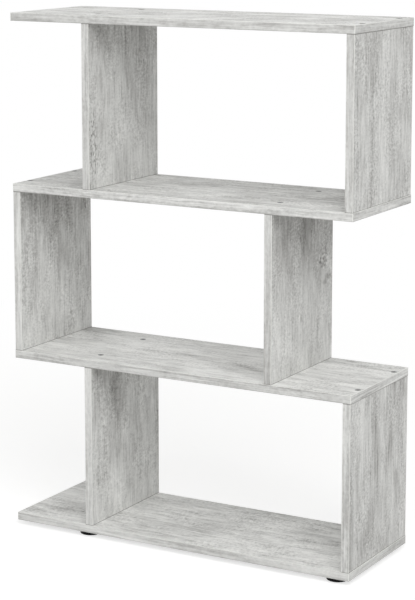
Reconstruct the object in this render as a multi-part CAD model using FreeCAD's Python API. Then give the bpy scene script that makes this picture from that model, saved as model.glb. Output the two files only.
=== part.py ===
import FreeCAD, Part
import math
import os

# Room divider bookcase: four long shelves, held apart by six uprights that step in and out.
# Millimetres. X runs along the shelves to the right, Y from front to back, Z up.
# The origin is on the floor, under the middle of the unit.

# Boards
shelf_length = 700.0
unit_depth = 240.0
shelf_thickness = 15.0
upright_thickness = 15.0
bay_height = 302.0

# From a shelf's end to the outer face of an upright that stands in from it
overhang = 155.0
# From a shelf's end to the outer face of an upright that stands at it
end_setback = 0.8

# Edge strips, glued on every edge that shows
strip_thickness = 1.0
strip_round = 0.6

# Connecting screws, driven through a shelf into the end of an upright
screw_length = 50.0
screw_head_diameter = 11.0
screw_head_rim = 0.6
screw_head_taper = 2.0
screw_neck_diameter = 7.0
screw_neck_short = 2.0
screw_core_diameter = 5.0
screw_tip_diameter = 3.0
screw_tip_length = 3.0
screw_sink = 0.1
screw_from_edge = 45.0
socket_width = 4.0
socket_depth = 2.5
screw_clearance = 0.1
screw_end_room = 3.0

# Dowels, one in the middle of each joint
dowel_diameter = 8.0
dowel_length = 30.0
dowel_chamfer = 1.0
dowel_cover = 5.0
dowel_clearance = 0.05
dowel_end_room = 1.0

# Feet: plastic discs under the bottom shelf, each with a screw up through its middle
foot_diameter = 40.0
foot_height = 9.0
foot_rim_round = 1.5
foot_from_edge = 28.0
foot_from_end = 35.0
foot_outside_upright = 7.0
foot_well_depth = 4.0
foot_well_room = 1.0
foot_screw_diameter = 3.5
foot_screw_head_diameter = 7.0
foot_screw_head_height = 2.0
foot_screw_cover = 4.0
foot_screw_clearance = 0.1
foot_screw_end_room = 1.0

# How far a cutting shape runs past the face that it opens
cut_past = 1.0

# Shelves from the floor up, the rows of uprights between them, and the side on which a row steps in
shelf_names = ("bottom_shelf", "lower_shelf", "upper_shelf", "top_shelf")
row_names = ("lower", "middle", "upper")
set_in_side = {"lower": "left", "middle": "right", "upper": "left"}
sides = ("left", "right")

up = FreeCAD.Vector(0, 0, 1)
half_length = shelf_length / 2
half_depth = unit_depth / 2
core_depth = unit_depth - 2 * strip_thickness
level_step = shelf_thickness + bay_height
dowel_in_shelf = shelf_thickness - dowel_cover


def shelf_underside(level):
    return foot_height + level * level_step


def towards(side, distance):
    """The X of a point that lies a distance to one side of the middle."""
    return -distance if side == "left" else distance


def upright_middle(row, side):
    """The X of an upright's middle plane."""
    from_end = overhang if set_in_side[row] == side else end_setback
    return towards(side, half_length - from_end - upright_thickness / 2)


def middled_box(size_x, size_y, size_z, middle_x, middle_y, bottom):
    corner = FreeCAD.Vector(middle_x - size_x / 2, middle_y - size_y / 2, bottom)
    return Part.makeBox(size_x, size_y, size_z, corner)


def turned(outline):
    """A solid of revolution about Z from (radius, height) points."""
    points = [FreeCAD.Vector(radius, 0, height) for radius, height in outline]
    face = Part.Face(Part.makePolygon(points + points[:1]))
    return face.revolve(FreeCAD.Vector(), up, 360)


def placed(shape, x, y, z, upside_down=False):
    """A copy of a shape made about Z, moved to a point and turned over if it points up."""
    turn = FreeCAD.Rotation(FreeCAD.Vector(1, 0, 0), 180 if upside_down else 0)
    copy = shape.copy()
    copy.Placement = FreeCAD.Placement(FreeCAD.Vector(x, y, z), turn)
    return copy


# Connecting screw

def make_screw():
    """A screw that points down from a shelf's face at height 0, its head sunk a little below it.
    Its neck ends a little short of the shelf's other face."""
    head_radius = screw_head_diameter / 2
    neck_radius = screw_neck_diameter / 2
    core_radius = screw_core_diameter / 2
    top = -screw_sink
    taper_top = top - screw_head_rim
    neck_end = screw_neck_short - shelf_thickness
    tip = top - screw_length
    body = turned([
        (0, top),
        (head_radius, top),
        (head_radius, taper_top),
        (neck_radius, taper_top - screw_head_taper),
        (neck_radius, neck_end),
        (core_radius, neck_end),
        (core_radius, tip + screw_tip_length),
        (screw_tip_diameter / 2, tip),
        (0, tip),
    ])
    socket_radius = socket_width / 2 / math.cos(math.pi / 6)
    corners = []
    for corner in range(7):
        angle = corner * math.pi / 3
        x = socket_radius * math.cos(angle)
        y = socket_radius * math.sin(angle)
        corners.append(FreeCAD.Vector(x, y, top - socket_depth))
    socket = Part.Face(Part.makePolygon(corners)).extrude(up * (socket_depth + cut_past))
    return body.cut(socket)


def make_screw_hole():
    """The countersunk hole for that screw's head and neck, right through the shelf."""
    head_radius = screw_head_diameter / 2 + screw_clearance
    neck_radius = screw_neck_diameter / 2 + screw_clearance
    taper_top = -screw_sink - screw_head_rim
    end = -shelf_thickness - cut_past
    return turned([
        (0, cut_past),
        (head_radius, cut_past),
        (head_radius, taper_top),
        (neck_radius, taper_top - screw_head_taper),
        (neck_radius, end),
        (0, end),
    ])


def make_pilot_hole():
    """The narrower blind hole for its core, on from there into the end of the upright."""
    core_radius = screw_core_diameter / 2 + screw_clearance
    end = -screw_sink - screw_length - screw_end_room
    return Part.makeCylinder(core_radius, -end, FreeCAD.Vector(0, 0, end), up)


# Dowel

def make_dowel():
    """A dowel across a joint at height 0, with the shelf above it."""
    radius = dowel_diameter / 2
    top = dowel_in_shelf
    bottom = dowel_in_shelf - dowel_length
    return turned([
        (0, top),
        (radius - dowel_chamfer, top),
        (radius, top - dowel_chamfer),
        (radius, bottom + dowel_chamfer),
        (radius - dowel_chamfer, bottom),
        (0, bottom),
    ])


def make_dowel_hole():
    """The blind holes that take it in the shelf and in the upright, as one cutting shape."""
    radius = dowel_diameter / 2 + dowel_clearance
    bottom = dowel_in_shelf - dowel_length - dowel_end_room
    return Part.makeCylinder(radius, dowel_length + 2 * dowel_end_room, FreeCAD.Vector(0, 0, bottom), up)


# Joints between shelves and uprights

class Joint:
    """One end of an upright on a shelf: the plane where they meet and the shelf's far face."""

    def __init__(self, row, side, at_top):
        below = row_names.index(row)
        self.middle = upright_middle(row, side)
        self.shelf = shelf_names[below + 1] if at_top else shelf_names[below]
        self.upright = f"{row}_{side}_upright"
        self.at_top = at_top
        if at_top:
            self.plane = shelf_underside(below + 1)
            self.far_face = self.plane + shelf_thickness
        else:
            self.far_face = shelf_underside(below)
            self.plane = self.far_face + shelf_thickness

    def across(self, shape):
        """Copies of a screw or its hole, in line with the upright's middle."""
        reach = half_depth - screw_from_edge
        return [placed(shape, self.middle, y, self.far_face, not self.at_top) for y in (-reach, reach)]

    def central(self, shape):
        """A copy of a dowel or its hole, in the middle of the joint."""
        return placed(shape, self.middle, 0, self.plane, not self.at_top)


joints = []
for row_name in row_names:
    for side_name in sides:
        joints.append(Joint(row_name, side_name, False))
        joints.append(Joint(row_name, side_name, True))

screw = make_screw()
screw_hole = make_screw_hole()
pilot_hole = make_pilot_hole()
dowel = make_dowel()
dowel_hole = make_dowel_hole()


def joint_holes(board):
    """Every hole that a board has for its joints."""
    holes = []
    for joint in joints:
        if board == joint.shelf:
            holes += joint.across(screw_hole)
            holes.append(joint.central(dowel_hole))
        if board == joint.upright:
            holes += joint.across(pilot_hole)
            holes.append(joint.central(dowel_hole))
    return holes


# Feet

def foot_places():
    """Each foot's name and middle: near the set-in upright on one side, near the shelf's end on the other."""
    places = {}
    for side in sides:
        if set_in_side[row_names[0]] == side:
            x = towards(side, half_length - overhang + foot_outside_upright)
        else:
            x = towards(side, half_length - foot_from_end)
        places[f"front_{side}_foot"] = (x, foot_from_edge - half_depth)
        places[f"back_{side}_foot"] = (x, half_depth - foot_from_edge)
    return places


def make_foot():
    """A disc with a rounded rim, a hole for its screw and a well below that hides the screw's head."""
    radius = foot_diameter / 2
    hole = foot_screw_diameter / 2 + foot_screw_clearance
    well = foot_screw_head_diameter / 2 + foot_well_room
    rim_middle = radius - foot_rim_round
    rim_slant = foot_rim_round * math.sqrt(0.5)
    rim = Part.Arc(
        FreeCAD.Vector(radius, 0, foot_rim_round),
        FreeCAD.Vector(rim_middle + rim_slant, 0, foot_rim_round - rim_slant),
        FreeCAD.Vector(rim_middle, 0, 0),
    ).toShape()
    rest = Part.makePolygon([
        FreeCAD.Vector(rim_middle, 0, 0),
        FreeCAD.Vector(well, 0, 0),
        FreeCAD.Vector(well, 0, foot_well_depth),
        FreeCAD.Vector(hole, 0, foot_well_depth),
        FreeCAD.Vector(hole, 0, foot_height),
        FreeCAD.Vector(radius, 0, foot_height),
        FreeCAD.Vector(radius, 0, foot_rim_round),
    ])
    section = Part.Face(Part.Wire([rim] + rest.Edges))
    return section.revolve(FreeCAD.Vector(), up, 360)


def make_foot_screw():
    """A pan-head screw that points up, its head against the roof of the foot's well."""
    head_radius = foot_screw_head_diameter / 2
    radius = foot_screw_diameter / 2
    tip = foot_height + shelf_thickness - foot_screw_cover
    return turned([
        (0, foot_well_depth - foot_screw_head_height),
        (head_radius, foot_well_depth - foot_screw_head_height),
        (head_radius, foot_well_depth),
        (radius, foot_well_depth),
        (radius, tip),
        (0, tip),
    ])


def foot_holes():
    """The blind holes in the bottom shelf's underside for the feet's screws."""
    radius = foot_screw_diameter / 2 + foot_screw_clearance
    depth = shelf_thickness - foot_screw_cover + foot_screw_end_room
    hole = Part.makeCylinder(radius, depth + cut_past, FreeCAD.Vector(0, 0, foot_height - cut_past), up)
    return [placed(hole, x, y, 0) for x, y in foot_places().values()]


# Boards

def make_shelf(level):
    name = shelf_names[level]
    length = shelf_length - 2 * strip_thickness
    board = middled_box(length, core_depth, shelf_thickness, 0, 0, shelf_underside(level))
    holes = joint_holes(name)
    if level == 0:
        holes += foot_holes()
    return board.cut(holes)


def make_upright(row, side):
    bottom = shelf_underside(row_names.index(row)) + shelf_thickness
    middle = upright_middle(row, side)
    board = middled_box(upright_thickness, core_depth, bay_height, middle, 0, bottom)
    return board.cut(joint_holes(f"{row}_{side}_upright"))


# Edge strips

def strip_section(board_thickness):
    """A strip's cross-section: its outer face is on X = 0 and the board's edge is at X = strip_thickness.
    The board's thickness runs along Y from 0, and the two outer corners are rounded."""
    reach = strip_round * (1 - math.sqrt(0.5))
    far = board_thickness
    inner = strip_thickness
    lower_round = Part.Arc(
        FreeCAD.Vector(strip_round, 0, 0),
        FreeCAD.Vector(reach, reach, 0),
        FreeCAD.Vector(0, strip_round, 0),
    ).toShape()
    upper_round = Part.Arc(
        FreeCAD.Vector(0, far - strip_round, 0),
        FreeCAD.Vector(reach, far - reach, 0),
        FreeCAD.Vector(strip_round, far, 0),
    ).toShape()
    outer = Part.makeLine(FreeCAD.Vector(0, strip_round, 0), FreeCAD.Vector(0, far - strip_round, 0))
    rest = Part.makePolygon([
        FreeCAD.Vector(strip_round, far, 0),
        FreeCAD.Vector(inner, far, 0),
        FreeCAD.Vector(inner, 0, 0),
        FreeCAD.Vector(strip_round, 0, 0),
    ])
    return Part.Face(Part.Wire([lower_round, outer, upper_round] + rest.Edges))


def make_strip(board_thickness, length):
    """A strip that runs up from height 0, over the section above."""
    return strip_section(board_thickness).extrude(up * length)


def set_strip(strip, origin, inward, across, along):
    """A copy of a strip with its section's X and Y and its length turned to three given directions."""
    turn = FreeCAD.Matrix(
        inward.x, across.x, along.x, origin.x,
        inward.y, across.y, along.y, origin.y,
        inward.z, across.z, along.z, origin.z,
    )
    copy = strip.copy()
    copy.Placement = FreeCAD.Placement(turn)
    return copy


right = FreeCAD.Vector(1, 0, 0)
back = FreeCAD.Vector(0, 1, 0)


def shelf_outline(bottom):
    """A block of a shelf's full outline with its four upright corners rounded, to trim strips with."""
    block = middled_box(shelf_length, unit_depth, shelf_thickness, 0, 0, bottom)
    corners = [edge for edge in block.Edges if abs(edge.tangentAt(edge.FirstParameter).z) > 0.5]
    return block.makeFillet(strip_round, corners)


def make_shelf_edging(level):
    """Long strips at the front and back, which cover the ends of the short ones between them."""
    bottom = shelf_underside(level)
    long_strip = make_strip(shelf_thickness, shelf_length)
    short_strip = make_strip(shelf_thickness, core_depth)
    front_left = FreeCAD.Vector(-half_length, -half_depth, bottom)
    back_right = FreeCAD.Vector(half_length, half_depth, bottom)
    left_back = FreeCAD.Vector(-half_length, core_depth / 2, bottom)
    right_front = FreeCAD.Vector(half_length, -core_depth / 2, bottom)
    strips = [
        set_strip(long_strip, front_left, back, up, right),
        set_strip(long_strip, back_right, -back, up, -right),
        set_strip(short_strip, left_back, right, up, -back),
        set_strip(short_strip, right_front, -right, up, back),
    ]
    outline = shelf_outline(bottom)
    return [strip.common(outline) for strip in strips]


def make_upright_edging(row, side):
    """A strip at the front and one at the back, as tall as the upright."""
    bottom = shelf_underside(row_names.index(row)) + shelf_thickness
    middle = upright_middle(row, side)
    strip = make_strip(upright_thickness, bay_height)
    reach = upright_thickness / 2
    front = FreeCAD.Vector(middle + reach, -half_depth, bottom)
    rear = FreeCAD.Vector(middle - reach, half_depth, bottom)
    return [
        set_strip(strip, front, back, -right, up),
        set_strip(strip, rear, -back, right, up),
    ]


# Output

def write(name, solids):
    shape = solids[0] if len(solids) == 1 else Part.makeCompound(solids)
    shape.exportStep(f"parts/{name}.step")


def single(shape):
    """The one solid in the result of a cut."""
    return [shape.Solids[0]]


os.makedirs("parts", exist_ok=True)

for level, shelf_name in enumerate(shelf_names):
    write(shelf_name, single(make_shelf(level)))
    write(f"{shelf_name}_edging", [strip.Solids[0] for strip in make_shelf_edging(level)])

for row_name in row_names:
    for side_name in sides:
        upright_name = f"{row_name}_{side_name}_upright"
        write(upright_name, single(make_upright(row_name, side_name)))
        write(f"{upright_name}_edging", make_upright_edging(row_name, side_name))
        screws = []
        dowels = []
        for joint in joints:
            if joint.upright == upright_name:
                screws += joint.across(screw)
                dowels.append(joint.central(dowel))
        write(f"{upright_name}_screws", screws)
        write(f"{upright_name}_dowels", dowels)

foot = make_foot()
foot_screw = make_foot_screw()
foot_screws = []
for foot_name, (foot_x, foot_y) in foot_places().items():
    write(foot_name, [placed(foot, foot_x, foot_y, 0)])
    foot_screws.append(placed(foot_screw, foot_x, foot_y, 0))
write("foot_screws", foot_screws)
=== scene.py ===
import math

import bmesh
import bpy
from mathutils import Matrix, Vector


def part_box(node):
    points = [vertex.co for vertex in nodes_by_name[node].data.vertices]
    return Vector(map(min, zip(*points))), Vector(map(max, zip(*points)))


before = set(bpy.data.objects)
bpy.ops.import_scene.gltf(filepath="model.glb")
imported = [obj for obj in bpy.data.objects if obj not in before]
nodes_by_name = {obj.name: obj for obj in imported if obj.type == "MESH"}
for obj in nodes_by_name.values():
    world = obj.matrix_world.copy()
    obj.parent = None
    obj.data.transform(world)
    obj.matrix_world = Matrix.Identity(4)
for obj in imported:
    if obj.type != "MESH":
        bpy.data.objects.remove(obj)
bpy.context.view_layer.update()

# Names of the part's pieces, and the sizes that its looks need, in metres
sides = ("left", "right")
shelf_names = ("bottom_shelf", "lower_shelf", "upper_shelf", "top_shelf")
upright_names = tuple(f"{row}_{side}_upright" for row in ("lower", "middle", "upper") for side in sides)
board_names = shelf_names + upright_names
foot_names = tuple(f"{end}_{side}_foot" for end in ("front", "back") for side in sides)
strip_thickness = 0.001
screw_y = 0.075


# Colours
def display(red, green, blue):
    """A colour as a screen shows it, 0 to 255, turned into the linear colour that shaders take."""
    linear = []
    for part in (red, green, blue):
        share = part / 255
        linear.append(share / 12.92 if share <= 0.04045 else ((share + 0.055) / 1.055) ** 2.4)
    return (*linear, 1.0)


def grey(level):
    return (level, level, level, 1.0)


# Node trees
noise_mean = 0.5


class Nodes:
    """Adds nodes to one tree. An input given as a socket is linked, and any other value is set."""

    def __init__(self, tree):
        self.tree = tree

    def add(self, kind, inputs=None, **settings):
        node = self.tree.nodes.new(kind)
        for name, value in settings.items():
            setattr(node, name, value)
        for key, value in (inputs or {}).items():
            self.put(node.inputs[key], value)
        return node

    def put(self, socket, value):
        if isinstance(value, bpy.types.NodeSocket):
            self.tree.links.new(value, socket)
        else:
            socket.default_value = value

    def place(self):
        """The place on the part, in metres."""
        return self.add("ShaderNodeTexCoord").outputs["Object"]

    def split(self, vector):
        """The three parts of a vector, found by number or by the letters X, Y and Z."""
        return self.add("ShaderNodeSeparateXYZ", {0: vector}).outputs

    def join(self, first, second, third):
        return self.add("ShaderNodeCombineXYZ", {0: first, 1: second, 2: third}).outputs[0]

    def math(self, operation, first, second=0.0, third=0.0):
        inputs = {0: first, 1: second, 2: third}
        return self.add("ShaderNodeMath", inputs, operation=operation).outputs[0]

    def vector(self, operation, first, second=(0.0, 0.0, 0.0)):
        inputs = {0: first, 1: second}
        node = self.add("ShaderNodeVectorMath", inputs, operation=operation)
        return node.outputs["Value" if operation in ("LENGTH", "DOT_PRODUCT") else "Vector"]

    def step(self, value, low, high):
        """0 up to low, 1 from high on, with a soft passage between; low may be the larger one."""
        inputs = {"Value": value, "From Min": low, "From Max": high}
        return self.add("ShaderNodeMapRange", inputs, interpolation_type="SMOOTHSTEP").outputs["Result"]

    def blend(self, factor, first, second):
        """A colour between two. The mix node has its colours at inputs 6 and 7 and at output 2."""
        return self.add("ShaderNodeMix", {0: factor, 6: first, 7: second}, data_type="RGBA").outputs[2]

    def blend_value(self, factor, first, second):
        """A number between two. The mix node has its numbers at inputs 2 and 3 and at output 0."""
        return self.add("ShaderNodeMix", {0: factor, 2: first, 3: second}, data_type="FLOAT").outputs[0]

    def ramp(self, value, stops):
        node = self.add("ShaderNodeValToRGB", {0: value})
        elements = node.color_ramp.elements
        while len(elements) < len(stops):
            elements.new(1.0)
        for element, (place, colour) in zip(elements, stops):
            element.position = place
            element.color = colour
        return node.outputs["Color"]

    def noise(self, vector, size, detail=2.0, roughness=0.5, output="Fac"):
        """Noise whose marks have about the given length and width, in metres."""
        length, width = size
        scaled = self.vector("MULTIPLY", vector, (1 / length, 1 / width, 1 / width))
        inputs = {"Vector": scaled, "Scale": 1.0, "Detail": detail, "Roughness": roughness}
        return self.add("ShaderNodeTexNoise", inputs).outputs[output]

    def cells(self, inputs, output, **settings):
        """A picture of cells of chance sizes."""
        return self.add("ShaderNodeTexVoronoi", inputs, **settings).outputs[output]

    def sum(self, base, *parts):
        """The base plus each (weight, value, mean): the weight times how far the value is from its mean."""
        total = base
        for weight, value, mean in parts:
            offset = self.math("SUBTRACT", value, mean)
            total = self.math("MULTIPLY_ADD", offset, weight, total)
        return total

    def bump(self, height, strength, distance):
        inputs = {"Height": height, "Strength": strength, "Distance": distance}
        return self.add("ShaderNodeBump", inputs).outputs["Normal"]


def empty_nodes(owner):
    """The node tree of a material or a world, with nothing in it."""
    owner.use_nodes = True
    owner.node_tree.nodes.clear()
    return Nodes(owner.node_tree)


def new_material(name):
    material = bpy.data.materials.new(name)
    nodes = empty_nodes(material)
    shader = nodes.add("ShaderNodeBsdfPrincipled")
    nodes.add("ShaderNodeOutputMaterial", {"Surface": shader.outputs[0]})
    return material, nodes, shader


def set_looks(nodes, shader, looks):
    for name, value in looks.items():
        nodes.put(shader.inputs[name], value)


def dress(name, material):
    mesh = nodes_by_name[name].data
    mesh.materials.clear()
    mesh.materials.append(material)


def add_object(name, data):
    holder = bpy.data.objects.new(name, data)
    bpy.context.scene.collection.objects.link(holder)
    return holder


# Whitewashed grey wood decor, printed on board faces and edge strips
decor_tones = (
    (0.00, display(132, 131, 128)),
    (0.25, display(174, 173, 171)),
    (0.50, display(208, 208, 206)),
    (0.75, display(230, 230, 228)),
    (1.00, display(246, 246, 244)),
)
middle_tone = 0.50
decor_inputs = {
    "Grain": "NodeSocketVector",
    "Tone": "NodeSocketFloat",
    "Bark": "NodeSocketFloat",
    "Wear": "NodeSocketFloat",
    "Contrast": "NodeSocketFloat",
}
decor_outputs = {
    "Color": "NodeSocketColor",
    "Roughness": "NodeSocketFloat",
    "Height": "NodeSocketFloat",
}

# How the grain wanders: the size of its bends, and how far they reach across the board
drift_size = (0.40, 0.15)
drift_reach = 0.020
wobble_size = (0.030, 0.012)
wobble_reach = 0.0040

# Planks of the picture: the seam's edges are shares of a plank's width
planks_per_metre = 16.0
plank_randomness = 0.85
seam_edges = (0.032, 0.010)
seam_gap_size = (0.10, 0.05)
seam_gap_range = (0.48, 0.60)

# Marks of the whitewash: (length, width) in metres, then the noise's detail and its roughness
wash_looks = {
    "clouds": ((0.150, 0.070), 2.0, 0.5),
    "patches": ((0.055, 0.022), 3.0, 0.6),
    "bands": ((0.300, 0.012), 2.0, 0.5),
    "streaks": ((0.050, 0.0056), 2.0, 0.6),
    "scratches": ((0.045, 0.0024), 2.0, 0.6),
}
speck_look = ((0.0046, 0.0064), 2.0, 0.7)
fleck_sizes = {"pale_flecks": (0.024, 0.0042), "dark_flecks": (0.018, 0.0036)}
fleck_range = (0.60, 0.70)
fleck_mean = 0.05
worn_size = (0.080, 0.045)
worn_range = (0.38, 0.62)

# Bark-like cracks: bent cells with broken outlines, in rare patches
crack_cell = (0.015, 0.0045)
crack_bend_size = (0.018, 0.009)
crack_bend_reach = (0.010, 0.007, 0.0)
crack_edges = (0.20, 0.02)
crack_mean = 0.16
crack_gap_size = (0.013, 0.006)
crack_gap_range = (0.40, 0.56)
crack_patch_size = (0.075, 0.034)
crack_patch_range = (0.60, 0.72)
crack_patch_depth = 0.45

# How much each mark changes the tone, the roughness and the height
broad_weights = {"planks": 0.06, "clouds": 0.62, "patches": 0.46, "seams": -0.12, "cracks": -0.42}
line_weights = {"bands": 0.40, "streaks": 0.50, "scratches": 0.62}
fine_weights = {"specks": 1.00, "pale_flecks": 0.16, "dark_flecks": -0.20}
fine_where_sound = 0.35
lines_lost_to_wear = 0.35
tone_broken_by_patches = 0.8
print_roughness = 0.60
roughness_weights = {"tone": -0.20, "scratches": 0.10}
print_height = 0.5
height_weights = {"scratches": 0.6, "streaks": 0.4, "cracks": -0.5, "dark_flecks": -0.3}


def wander(nodes, grain):
    """The grain's place, moved a little across the board as real grain would be."""
    drift = nodes.noise(grain, drift_size, detail=1.0)
    wobble = nodes.noise(grain, wobble_size, detail=1.0)
    sideways = nodes.sum(0.0, (drift_reach, drift, noise_mean), (wobble_reach, wobble, noise_mean))
    return nodes.vector("ADD", grain, nodes.join(0.0, sideways, 0.0))


def plank_marks(nodes, grain, wandering):
    """A tone for each plank, and thin seams between the planks that show in places."""
    inputs = {
        "W": nodes.split(wandering)["Y"],
        "Scale": planks_per_metre,
        "Randomness": plank_randomness,
    }
    plank = nodes.cells(inputs, "Color", voronoi_dimensions="1D")
    seam = nodes.cells(inputs, "Distance", voronoi_dimensions="1D", feature="DISTANCE_TO_EDGE")
    plank_tone = nodes.add("ShaderNodeSeparateColor", {0: plank}).outputs[0]
    seam_line = nodes.step(seam, *seam_edges)
    seam_shows = nodes.step(nodes.noise(grain, seam_gap_size), *seam_gap_range)
    return {
        "planks": (plank_tone, noise_mean),
        "seams": (nodes.math("MULTIPLY", seam_line, seam_shows), 0.0),
    }


def wash_marks(nodes, grain, wandering):
    """Clouds, patches and bands of whitewash, with streaks, scratches, specks and flecks in them."""
    marks = {name: (nodes.noise(wandering, *look), noise_mean) for name, look in wash_looks.items()}
    marks["specks"] = (nodes.noise(grain, *speck_look), noise_mean)
    for name, size in fleck_sizes.items():
        marks[name] = (nodes.step(nodes.noise(wandering, size), *fleck_range), fleck_mean)
    return marks


def crack_marks(nodes, grain, wandering, wear, bark):
    """Cracks in the rare patches that wear brings, and where a board asks for bark."""
    bend = nodes.noise(grain, crack_bend_size, output="Color")
    bend = nodes.vector("SUBTRACT", bend, (noise_mean, noise_mean, noise_mean))
    bend = nodes.vector("MULTIPLY", bend, crack_bend_reach)
    length, width = crack_cell
    cells = nodes.vector("ADD", wandering, bend)
    cells = nodes.vector("MULTIPLY", cells, (1 / length, 1 / width, 1 / width))
    outline = nodes.cells({"Vector": cells, "Scale": 1.0}, "Distance", feature="DISTANCE_TO_EDGE")
    shows = nodes.step(nodes.noise(grain, crack_gap_size), *crack_gap_range)
    line = nodes.math("MULTIPLY", nodes.step(outline, *crack_edges), shows)
    patch = nodes.step(nodes.noise(grain, crack_patch_size), *crack_patch_range)
    patch = nodes.math("MULTIPLY", nodes.math("MULTIPLY", patch, wear), crack_patch_depth)
    depth = nodes.math("MAXIMUM", patch, bark)
    cracks = nodes.math("MULTIPLY", nodes.math("SUBTRACT", line, crack_mean), depth)
    return {"cracks": (cracks, 0.0)}


def weigh(nodes, base, marks, weights):
    """The base with each weighed mark added to it."""
    return nodes.sum(base, *[(weight, *marks[name]) for name, weight in weights.items()])


def make_decor():
    """A node group that turns a place on the print into its colour, roughness and height.

    Grain is the place along the grain, across it and into the board. Tone makes the print paler, Bark adds
    cracks, Wear wears the whitewash, and Contrast strengthens all marks.
    """
    tree = bpy.data.node_groups.new("weathered_decor", "ShaderNodeTree")
    for name, kind in decor_inputs.items():
        tree.interface.new_socket(name, in_out="INPUT", socket_type=kind)
    for name, kind in decor_outputs.items():
        tree.interface.new_socket(name, in_out="OUTPUT", socket_type=kind)
    nodes = Nodes(tree)
    given = nodes.add("NodeGroupInput").outputs
    grain = given["Grain"]
    wandering = wander(nodes, grain)
    marks = {
        **plank_marks(nodes, grain, wandering),
        **wash_marks(nodes, grain, wandering),
        **crack_marks(nodes, grain, wandering, given["Wear"], given["Bark"]),
    }

    # Specks show where the whitewash is worn, and lines where it isn't
    worn = nodes.step(nodes.noise(grain, worn_size), *worn_range)
    worn = nodes.math("MULTIPLY", worn, given["Wear"])
    fine_share = nodes.sum(fine_where_sound, (1 - fine_where_sound, worn, 0.0))
    line_share = nodes.sum(1.0, (-lines_lost_to_wear, worn, 0.0))
    fine = nodes.math("MULTIPLY", weigh(nodes, 0.0, marks, fine_weights), fine_share)
    lines = nodes.math("MULTIPLY", weigh(nodes, 0.0, marks, line_weights), line_share)
    all_marks = weigh(nodes, nodes.math("ADD", lines, fine), marks, broad_weights)

    # The board's own tone is broken up by the patches
    tone_share = weigh(nodes, 1.0, marks, {"patches": tone_broken_by_patches})
    base = nodes.math("MULTIPLY_ADD", given["Tone"], tone_share, middle_tone)
    tone = nodes.math("MULTIPLY_ADD", all_marks, given["Contrast"], base)
    marks["tone"] = (tone, middle_tone)
    results = {
        "Color": nodes.ramp(tone, decor_tones),
        "Roughness": weigh(nodes, print_roughness, marks, roughness_weights),
        "Height": weigh(nodes, print_height, marks, height_weights),
    }
    nodes.add("NodeGroupOutput", results)
    return tree


decor = make_decor()
first_start = (0.21, 0.11, 0.05)
start_steps = (1.37, 0.93, 0.71)


def print_start(number):
    """Where a board's picture starts on the endless print: each number's place is far from the others."""
    return tuple(step * number + first for step, first in zip(start_steps, first_start))


def decor_at(nodes, grain, start, **looks):
    """The decor's group, cut from its print at a start of its own for each board."""
    group = nodes.add("ShaderNodeGroup", node_tree=decor)
    nodes.put(group.inputs["Grain"], nodes.vector("ADD", grain, start))
    for name, value in looks.items():
        nodes.put(group.inputs[name], value)
    return group.outputs


def near_edge(nodes, distance, reach):
    """1 at an edge, falling to 0 at a reach away from it."""
    full_share = 0.4
    return nodes.step(distance, reach, full_share * reach)


def near_ends(nodes, coordinate, low, high, reach):
    """1 at the two ends of a stretch, falling to 0 at a reach inside them."""
    from_low = nodes.math("SUBTRACT", coordinate, low)
    from_high = nodes.math("SUBTRACT", high, coordinate)
    return near_edge(nodes, nodes.math("MINIMUM", from_low, from_high), reach)


# Marks of single boards: (place along, across) and (reach along, across) in metres, then the strength.
# They lie in a shelf's upper face and in an upright's face towards the right end
mark_depth = 0.007
full_width = 0.40
golden_angle = math.radians(137.5)


def band(along, reach, strength):
    """A mark that runs right across its board."""
    return ((along, 0.0), (reach, full_width), strength)


def speckles(centre, reach, count, spot, strengths):
    """Small marks that fill an oval, turn about in each of the given strengths."""
    spots = []
    for number in range(count):
        out = math.sqrt((number + 0.5) / count)
        along = centre[0] + out * reach[0] * math.cos(number * golden_angle)
        across = centre[1] + out * reach[1] * math.sin(number * golden_angle)
        spots.append(((along, across), spot, strengths[number % len(strengths)]))
    return tuple(spots)


def shade_at_top_heads(reach, strength):
    """Painted shade round the screw heads in the top shelf, where the gaps round the heads would lie in
    shadow.
    """
    marks = []
    for side in sides:
        low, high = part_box(f"upper_{side}_upright")
        for y in (-screw_y, screw_y):
            marks.append((((low.x + high.x) / 2, y), reach, strength))
    return tuple(marks)


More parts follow.
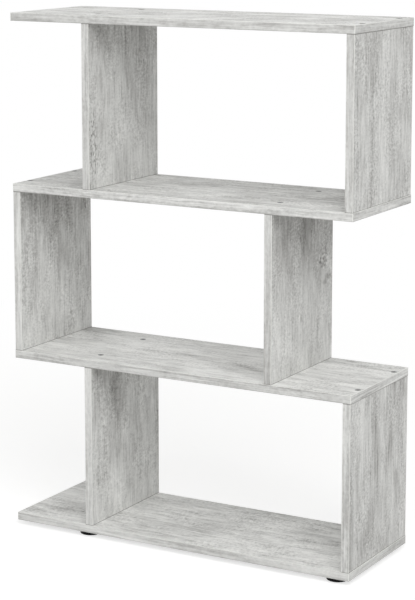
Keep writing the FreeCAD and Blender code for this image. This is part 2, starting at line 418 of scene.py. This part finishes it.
knot_place = (0.531, 0.083)
knot = speckles(knot_place, (0.015, 0.017), 18, (0.0040, 0.0052), (-0.32, -0.26, 0.26))
tone_marks = {
    "bottom_shelf": (
        ((0.160, 0.115), (0.24, 0.060), -0.16),
        ((0.240, 0.030), (0.07, 0.025), -0.14),
        ((-0.080, -0.035), (0.13, 0.030), -0.12),
        ((0.180, -0.020), (0.14, 0.035), 0.12),
        ((-0.260, -0.070), (0.06, 0.014), -0.14),
        ((-0.320, 0.010), (0.06, 0.016), -0.10),
        ((0.010, -0.038), (0.040, 0.018), 0.12),
        ((0.270, 0.020), (0.045, 0.028), -0.12),
        ((0.110, -0.070), (0.080, 0.028), -0.10),
        ((-0.010, -0.108), (0.030, 0.012), 0.10),
    ),
    "lower_shelf": (
        ((-0.080, -0.120), (0.32, 0.040), 0.14),
        ((-0.280, -0.030), (0.09, 0.050), 0.10),
        ((-0.310, 0.115), (0.14, 0.055), -0.18),
        ((-0.135, 0.000), (0.03, 0.014), -0.20),
        ((0.095, -0.030), (0.06, 0.030), -0.12),
        ((0.270, 0.118), (0.10, 0.026), 0.16),
        ((0.290, 0.078), (0.07, 0.009), -0.22),
        ((0.310, -0.036), (0.05, 0.006), -0.18),
        ((0.225, 0.010), (0.05, 0.060), -0.10),
        ((-0.080, -0.030), (0.040, 0.020), 0.22),
        ((0.080, -0.018), (0.040, 0.030), -0.18),
        ((-0.215, -0.026), (0.035, 0.022), 0.16),
    ),
    "upper_shelf": (
        ((0.000, 0.050), (0.10, 0.060), -0.08),
        ((0.130, -0.045), (0.06, 0.012), -0.18),
        ((0.170, 0.020), (0.05, 0.010), -0.14),
        ((0.090, -0.070), (0.05, 0.014), -0.12),
        ((-0.110, -0.020), (0.06, 0.020), 0.08),
    ),
    "top_shelf": (
        ((-0.280, 0.060), (0.12, 0.070), 0.14),
        ((0.130, -0.110), (0.16, 0.030), -0.14),
        ((0.250, 0.110), (0.20, 0.045), -0.15),
        ((0.270, -0.020), (0.14, 0.070), -0.10),
        ((-0.240, -0.040), (0.06, 0.030), -0.10),
        # Painted shade round the top shelf's screw heads
        *shade_at_top_heads((0.010, 0.014), -0.40),
    ),
    "lower_right_upright": (
        band(0.175, 0.10, -0.06),
        ((0.215, 0.050), (0.070, 0.020), -0.28),
        ((0.145, 0.075), (0.040, 0.022), -0.12),
        ((0.070, -0.045), (0.060, 0.045), -0.08),
        ((0.125, -0.016), (0.070, 0.020), 0.13),
        ((0.135, 0.016), (0.150, 0.016), 0.12),
        ((0.260, -0.060), (0.070, 0.036), 0.09),
        ((0.305, 0.062), (0.030, 0.014), 0.10),
    ),
    "upper_right_upright": (
        ((0.800, -0.045), (0.300, 0.026), -0.13),
        ((0.780, -0.045), (0.070, 0.018), -0.10),
        ((0.930, -0.050), (0.090, 0.034), -0.10),
        ((0.875, -0.080), (0.100, 0.020), 0.13),
        ((0.690, 0.005), (0.110, 0.034), 0.13),
        ((0.905, 0.012), (0.100, 0.034), -0.08),
        ((0.890, 0.065), (0.080, 0.026), 0.10),
        ((0.690, 0.105), (0.070, 0.030), -0.12),
    ),
    # The bands darken the top of the face, partly the print's own smoky tone and partly painted shade under
    # the shelf above, and pale its bottom as painted light bounced up from the shelf below
    "upper_left_upright": (
        band(0.975, 0.22, -0.15),
        band(0.640, 0.16, 0.05),
        ((0.910, 0.007), (0.08, 0.006), -0.20),
        ((0.790, 0.006), (0.04, 0.005), -0.18),
        ((0.705, 0.008), (0.06, 0.006), -0.20),
    ),
    # Bands as above: the darker top partly painted shade, the paler bottom painted light
    "middle_left_upright": (
        band(0.660, 0.18, -0.27),
        band(0.500, 0.10, -0.06),
        band(0.320, 0.16, 0.10),
    ),
    # Bands as above: the darker top partly painted shade, the paler bottom painted light
    "lower_left_upright": (
        band(0.345, 0.15, -0.29),
        band(0.010, 0.16, 0.18),
    ),
    # Bands as above: the darker top partly painted shade, the paler bottom painted light; the small dark
    # marks and the knot are print
    "middle_right_upright": (
        band(0.660, 0.20, -0.34),
        band(0.320, 0.16, 0.16),
        ((0.498, 0.103), (0.011, 0.018), -0.34),
        ((0.489, 0.088), (0.008, 0.014), -0.24),
        *knot,
    ),
}
bark_marks = {
    "upper_left_upright": (
        ((0.760, -0.110), (0.08, 0.024), 1.3),
        ((0.705, -0.098), (0.06, 0.042), 1.0),
    ),
    "middle_right_upright": ((knot_place, (0.022, 0.030), 0.5),),
}


def marks_sum(nodes, grain, face, marks, base):
    """The base with the soft marks of one face on it."""
    total = base
    for centre, reach, strength in marks:
        offset = nodes.vector("SUBTRACT", grain, (*centre, face))
        offset = nodes.vector("DIVIDE", offset, (*reach, mark_depth))
        spot = nodes.step(nodes.vector("LENGTH", offset), 1.0, 0.0)
        total = nodes.math("MULTIPLY_ADD", spot, strength, total)
    return total


# Boards: a printed face, with dark lines painted where uprights end, as the shade in their joints with the
# shelves, and dark glue lines where strips are glued on
# The dark of the glue lines, and of the painted shade in the joints and along the shelf strips' lower
# arrises
glue_and_shade_dark = display(96, 94, 90)
joint_shade_width = 0.0011
joint_shade_strength = 0.85
glue_width = 0.0006
glue_strength = 0.5
board_bump = (0.25, 0.0004)
board_gloss = 0.35
board_wear = 1.0
# Each board's own tone, partly the print's and partly painted light: the shelves are paler for more light
# on their upper faces, the lower right upright darker as painted shade
board_tone_and_light = {
    "bottom_shelf": 0.15,
    "lower_shelf": 0.17,
    "upper_shelf": 0.02,
    "top_shelf": 0.09,
    "lower_left_upright": 0.02,
    "lower_right_upright": -0.06,
    "upper_right_upright": -0.015,
}
board_contrast = {
    "bottom_shelf": 1.3,
    "lower_shelf": 1.25,
    "upper_shelf": 1.1,
    "top_shelf": 1.4,
    "middle_right_upright": 0.92,
    "upper_left_upright": 0.88,
}


def joint_shade_lines(nodes, z, low, high):
    """Painted shade: dark lines at an upright's two ends, where its joints with the shelves lie in shade.
    """
    return nodes.math("MULTIPLY", near_ends(nodes, z, low.z, high.z, joint_shade_width), joint_shade_strength)


def make_board_material(name, start):
    material, nodes, shader = new_material(f"{name}_decor")
    low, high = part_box(name)
    x, y, z = nodes.split(nodes.place())
    dark = nodes.math("MULTIPLY", near_ends(nodes, y, low.y, high.y, glue_width), glue_strength)
    if name in shelf_names:
        grain, face = nodes.join(x, y, z), high.z
    else:
        grain, face = nodes.join(z, y, x), high.x
        # Painted shade at the upright's two ends, added to the glue lines
        dark = nodes.math("MAXIMUM", dark, joint_shade_lines(nodes, z, low, high))
    printed = decor_at(
        nodes,
        grain,
        start,
        Tone=marks_sum(nodes, grain, face, tone_marks.get(name, ()), board_tone_and_light.get(name, 0.0)),
        Bark=marks_sum(nodes, grain, face, bark_marks.get(name, ()), 0.0),
        Wear=board_wear,
        Contrast=board_contrast.get(name, 1.0),
    )
    looks = {
        "Base Color": nodes.blend(dark, printed["Color"], glue_and_shade_dark),
        "Roughness": printed["Roughness"],
        "Normal": nodes.bump(printed["Height"], *board_bump),
        "Specular IOR Level": board_gloss,
    }
    set_looks(nodes, shader, looks)
    return material


for number, name in enumerate(board_names):
    dress(name, make_board_material(name, print_start(number)))


# Edge strips: the print drawn out along them, paler at the arrises, partly rubbed and partly a painted
# highlight, darker at a shelf strip's lower arris as painted shade, with the plastic showing at the sides
# The strips' plastic, shown at their sides and as the painted highlight on their arrises
bare_plastic_and_highlight = display(236, 237, 233)
strip_draw = 0.45
strip_wear = 0.25
strip_bump = (0.2, 0.0003)
strip_gloss = 0.4
# Just past the end strips' inner faces
end_strip_reach = 1.05 * strip_thickness
# Paler arrises: rubbed wear and a painted highlight
rub_and_highlight_width = 0.0014
rub_and_highlight_strength = 0.65
scuff_size = (0.012, 0.004)
scuff_range = (0.25, 0.60)
# Painted shade along the lower arris of a shelf's strips
lower_arris_shade_width = 0.0015
lower_arris_shade_strength = 0.35
bare_side_range = (0.97, 0.70)
strip_contrast = {
    "lower_shelf": 1.15,
    "upper_shelf": 1.35,
    "lower_right_upright": 1.2,
    "middle_right_upright": 0.85,
    "middle_left_upright": 1.1,
}
end_strip_tone = {"bottom_shelf": 0.02, "lower_shelf": -0.01, "upper_shelf": 0.03, "top_shelf": 0.02}
strip_tone = {
    "bottom_shelf": 0.06,
    "lower_shelf": -0.03,
    "upper_shelf": 0.03,
    "top_shelf": -0.07,
    "lower_left_upright": 0.03,
    "lower_right_upright": 0.00,
    "middle_left_upright": 0.11,
    "middle_right_upright": -0.11,
    "upper_left_upright": -0.05,
    "upper_right_upright": -0.035,
}


def make_strip_material(board, start):
    """A shelf's strips are paler at the top arris, partly rubbed and partly a painted highlight, and darker
    at the lower arris as painted shade. An upright's have painted shade at their ends, where they meet the
    shelves.
    """
    name = f"{board}_edging"
    material, nodes, shader = new_material(f"{name}_print")
    low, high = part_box(name)
    x, y, z = nodes.split(nodes.place())
    facing = nodes.vector("ABSOLUTE", nodes.add("ShaderNodeNewGeometry").outputs["Normal"])
    facing_x, facing_y, _ = nodes.split(facing)
    tone = strip_tone[board]
    if board in shelf_names:
        at_end = nodes.math("GREATER_THAN", nodes.math("ABSOLUTE", x), high.x - end_strip_reach)
        along = nodes.blend_value(at_end, x, y)
        across = z
        into = nodes.blend_value(at_end, y, x)
        outward = nodes.blend_value(at_end, facing_y, facing_x)
        tone = nodes.blend_value(at_end, tone, end_strip_tone[board])
        # Paler top arris: partly rubbed, partly a painted highlight
        rubbed_and_highlit = near_edge(nodes, nodes.math("SUBTRACT", high.z, z), rub_and_highlight_width)
        # Painted shade on the lower arris
        shaded_lower_arris = near_edge(nodes, nodes.math("SUBTRACT", z, low.z), lower_arris_shade_width)
        dark = nodes.math("MULTIPLY", shaded_lower_arris, lower_arris_shade_strength)
    else:
        along, across, into, outward = z, x, y, facing_y
        # Paler side arrises: partly rubbed, partly a painted highlight
        rubbed_and_highlit = near_ends(nodes, x, low.x, high.x, rub_and_highlight_width)
        # Painted shade at the strip's two ends, where the upright meets the shelves
        dark = joint_shade_lines(nodes, z, low, high)
    grain = nodes.join(nodes.math("MULTIPLY", along, strip_draw), across, into)
    contrast = strip_contrast.get(board, 1.0)
    printed = decor_at(nodes, grain, start, Tone=tone, Wear=strip_wear, Contrast=contrast)
    scuffed = nodes.step(nodes.noise(grain, scuff_size), *scuff_range)
    # Where the plastic shows: the rubbed and painted-highlight arrises, and the strips' sides
    bare_and_highlit = nodes.math("MULTIPLY", nodes.math("MULTIPLY", rubbed_and_highlit, rub_and_highlight_strength), scuffed)
    bare_and_highlit = nodes.math("MAXIMUM", bare_and_highlit, nodes.step(outward, *bare_side_range))
    colour = nodes.blend(bare_and_highlit, printed["Color"], bare_plastic_and_highlight)
    looks = {
        "Base Color": nodes.blend(dark, colour, glue_and_shade_dark),
        "Roughness": printed["Roughness"],
        "Normal": nodes.bump(printed["Height"], *strip_bump),
        "Specular IOR Level": strip_gloss,
    }
    set_looks(nodes, shader, looks)
    return material


for number, board in enumerate(board_names, start=len(board_names)):
    dress(f"{board}_edging", make_strip_material(board, print_start(number)))


# Screws of dull plated steel, each row of them with a tone of its own, the upper row's darkest
steel_tones = (
    (0.00, display(60, 60, 61)),
    (0.40, display(112, 112, 113)),
    (0.60, display(136, 136, 137)),
    (0.90, display(158, 158, 158)),
)
screw_row_tone = {"foot": 0.00, "lower": 0.20, "middle": 0.16, "upper": -0.34}
steel_stain_size = (0.004, 0.004)
steel_scratch_size = (0.006, 0.0004)
steel_roughness = 0.42
steel_bump = (0.15, 0.0001)
steel_metallic = 0.25
steel_gloss = 0.0
steel_edge_tint = grey(0.25)


def make_steel(screws):
    material, nodes, shader = new_material(f"{screws}_screw_steel")
    place = nodes.place()
    stain = nodes.noise(place, steel_stain_size, detail=4.0, roughness=0.6)
    scratch = nodes.noise(place, steel_scratch_size)
    row_level = middle_tone + screw_row_tone[screws]
    tone = nodes.sum(row_level, (0.7, stain, noise_mean), (0.4, scratch, noise_mean))
    roughness = nodes.sum(steel_roughness, (0.35, stain, noise_mean), (0.2, scratch, noise_mean))
    looks = {
        "Base Color": nodes.ramp(tone, steel_tones),
        "Roughness": roughness,
        "Normal": nodes.bump(scratch, *steel_bump),
        "Metallic": steel_metallic,
        "Specular IOR Level": steel_gloss,
        "Specular Tint": steel_edge_tint,
    }
    set_looks(nodes, shader, looks)
    return material


# Dowels of beech, with their grain upright
beech_tones = (
    (0.2, display(168, 128, 92)),
    (0.6, display(205, 170, 132)),
    (1.0, display(226, 198, 164)),
)
beech_fibre_size = (0.03, 0.0009)
beech_fleck_size = (0.004, 0.0007)
beech_fleck_range = (0.62, 0.74)
beech_roughness = 0.62
beech_bump = (0.3, 0.0002)


def make_beech():
    material, nodes, shader = new_material("beech_dowel")
    x, y, z = nodes.split(nodes.place())
    grain = nodes.join(z, y, x)
    fibre = nodes.noise(grain, beech_fibre_size, detail=3.0, roughness=0.6)
    fleck = nodes.step(nodes.noise(grain, beech_fleck_size, detail=1.0), *beech_fleck_range)
    tone = nodes.sum(middle_tone, (0.9, fibre, noise_mean), (-0.2, fleck, 0.0))
    looks = {
        "Base Color": nodes.ramp(tone, beech_tones),
        "Roughness": nodes.sum(beech_roughness, (-0.2, tone, middle_tone)),
        "Normal": nodes.bump(fibre, *beech_bump),
    }
    set_looks(nodes, shader, looks)
    return material


# Feet of black plastic with a fine grit
foot_tones = (
    (0.1, display(3, 3, 3)),
    (0.6, display(10, 10, 10)),
    (1.0, display(24, 24, 25)),
)
foot_tone = 0.4
foot_grit_size = (0.0011, 0.0011)
foot_rub_size = (0.02, 0.02)
foot_roughness = 0.52
foot_bump = (0.25, 0.0002)
foot_gloss = 0.10


def make_foot_plastic():
    material, nodes, shader = new_material("black_foot_plastic")
    place = nodes.place()
    grit = nodes.noise(place, foot_grit_size, detail=3.0, roughness=0.6)
    rub = nodes.noise(place, foot_rub_size, detail=4.0, roughness=0.6)
    tone = nodes.sum(foot_tone, (0.6, rub, noise_mean), (0.5, grit, noise_mean))
    looks = {
        "Base Color": nodes.ramp(tone, foot_tones),
        "Roughness": nodes.sum(foot_roughness, (0.35, grit, noise_mean), (0.2, rub, noise_mean)),
        "Normal": nodes.bump(grit, *foot_bump),
        "Specular IOR Level": foot_gloss,
    }
    set_looks(nodes, shader, looks)
    return material


steel = {screws: make_steel(screws) for screws in screw_row_tone}
beech = make_beech()
foot_plastic = make_foot_plastic()
for name in upright_names:
    dress(f"{name}_screws", steel[name.split("_")[0]])
    dress(f"{name}_dowels", beech)
for name in foot_names:
    dress(name, foot_plastic)
dress("foot_screws", steel["foot"])


# Floor: lit and shaded round the object, plain white farther off where the camera sees it
floor_radius = 9.0
floor_sides = 96
fade_from = 0.9
fade_to = 2.2
floor_albedo = 0.90
floor_shown = 0.50
floor_lift = 0.65


def seen_directly(nodes):
    """1 on rays from the camera, and on those that metal or glass passes on."""
    paths = nodes.add("ShaderNodeLightPath").outputs
    seen = nodes.math("MAXIMUM", paths["Is Camera Ray"], paths["Is Glossy Ray"])
    return nodes.math("MAXIMUM", seen, paths["Is Transmission Ray"])


def make_floor_material():
    material = bpy.data.materials.new("floor_white")
    nodes = empty_nodes(material)
    away = nodes.step(nodes.vector("LENGTH", nodes.place()), fade_from, fade_to)
    lit = nodes.add("ShaderNodeBsdfDiffuse", {"Color": grey(floor_albedo)}).outputs[0]
    shaded = nodes.add("ShaderNodeBsdfDiffuse", {"Color": grey(floor_shown)}).outputs[0]
    lift = nodes.add("ShaderNodeEmission", {"Strength": floor_lift}).outputs[0]
    near = nodes.add("ShaderNodeAddShader", {0: shaded, 1: lift}).outputs[0]
    white = nodes.add("ShaderNodeEmission", {"Strength": 1.0}).outputs[0]
    shown = nodes.add("ShaderNodeMixShader", {0: away, 1: near, 2: white}).outputs[0]
    both = nodes.add("ShaderNodeMixShader", {0: seen_directly(nodes), 1: lit, 2: shown}).outputs[0]
    nodes.add("ShaderNodeOutputMaterial", {"Surface": both})
    return material


def make_floor():
    mesh = bpy.data.meshes.new("floor")
    form = bmesh.new()
    bmesh.ops.create_circle(form, cap_ends=True, segments=floor_sides, radius=floor_radius)
    form.to_mesh(mesh)
    form.free()
    mesh.materials.append(make_floor_material())
    floor = add_object("floor", mesh)


make_floor()


# Light: a white room that glows more from the front, and one large soft lamp
room_colour = (1.0, 1.0, 0.985, 1.0)
room_even = 0.53
room_front = 0.16
towards_front = (0.0, -1.0, 0.0)
key_power = 50.0
key_place = Vector((1.45, -1.73, 2.76))
key_aim = Vector((0.0, 0.0, 0.50))
key_size = 2.0


def make_room():
    world = bpy.data.worlds.new("white_room")
    bpy.context.scene.world = world
    nodes = empty_nodes(world)
    outward = nodes.add("ShaderNodeTexCoord").outputs["Generated"]
    front = nodes.math("MAXIMUM", nodes.vector("DOT_PRODUCT", outward, towards_front), 0.0)
    glow = nodes.math("MULTIPLY_ADD", front, room_front, room_even)
    room = nodes.add("ShaderNodeBackground", {"Color": room_colour, "Strength": glow}).outputs[0]
    white = nodes.add("ShaderNodeBackground", {"Color": grey(1.0), "Strength": 1.0}).outputs[0]
    both = nodes.add("ShaderNodeMixShader", {0: seen_directly(nodes), 1: room, 2: white}).outputs[0]
    nodes.add("ShaderNodeOutputWorld", {"Surface": both})


def make_key_lamp():
    lamp = bpy.data.lights.new("key", "AREA")
    lamp.shape = "SQUARE"
    lamp.size = key_size
    lamp.energy = key_power
    holder = add_object("key", lamp)
    holder.location = key_place
    holder.rotation_euler = (key_aim - key_place).to_track_quat("-Z", "Y").to_euler()


make_room()
make_key_lamp()


# Camera at the photograph's angle
photo_height = 600
camera_place = Vector((1.7766, -3.1111, 1.1980))
camera_turn = math.radians(29.748)
camera_tilt = math.radians(9.006)
camera_level = math.radians(90)
focal_pixels = 1985
camera_shift = -0.16
sensor = 36.0


def make_camera():
    data = bpy.data.cameras.new("camera")
    data.sensor_width = sensor
    data.lens = focal_pixels / photo_height * sensor
    data.shift_y = camera_shift
    camera = add_object("camera", data)
    tilted = Matrix.Rotation(camera_level - camera_tilt, 4, "X")
    turned = Matrix.Rotation(camera_turn, 4, "Z") @ tilted
    camera.matrix_world = Matrix.Translation(camera_place) @ turned
    bpy.context.scene.camera = camera


make_camera()
bpy.context.scene.view_settings.view_transform = "Standard"
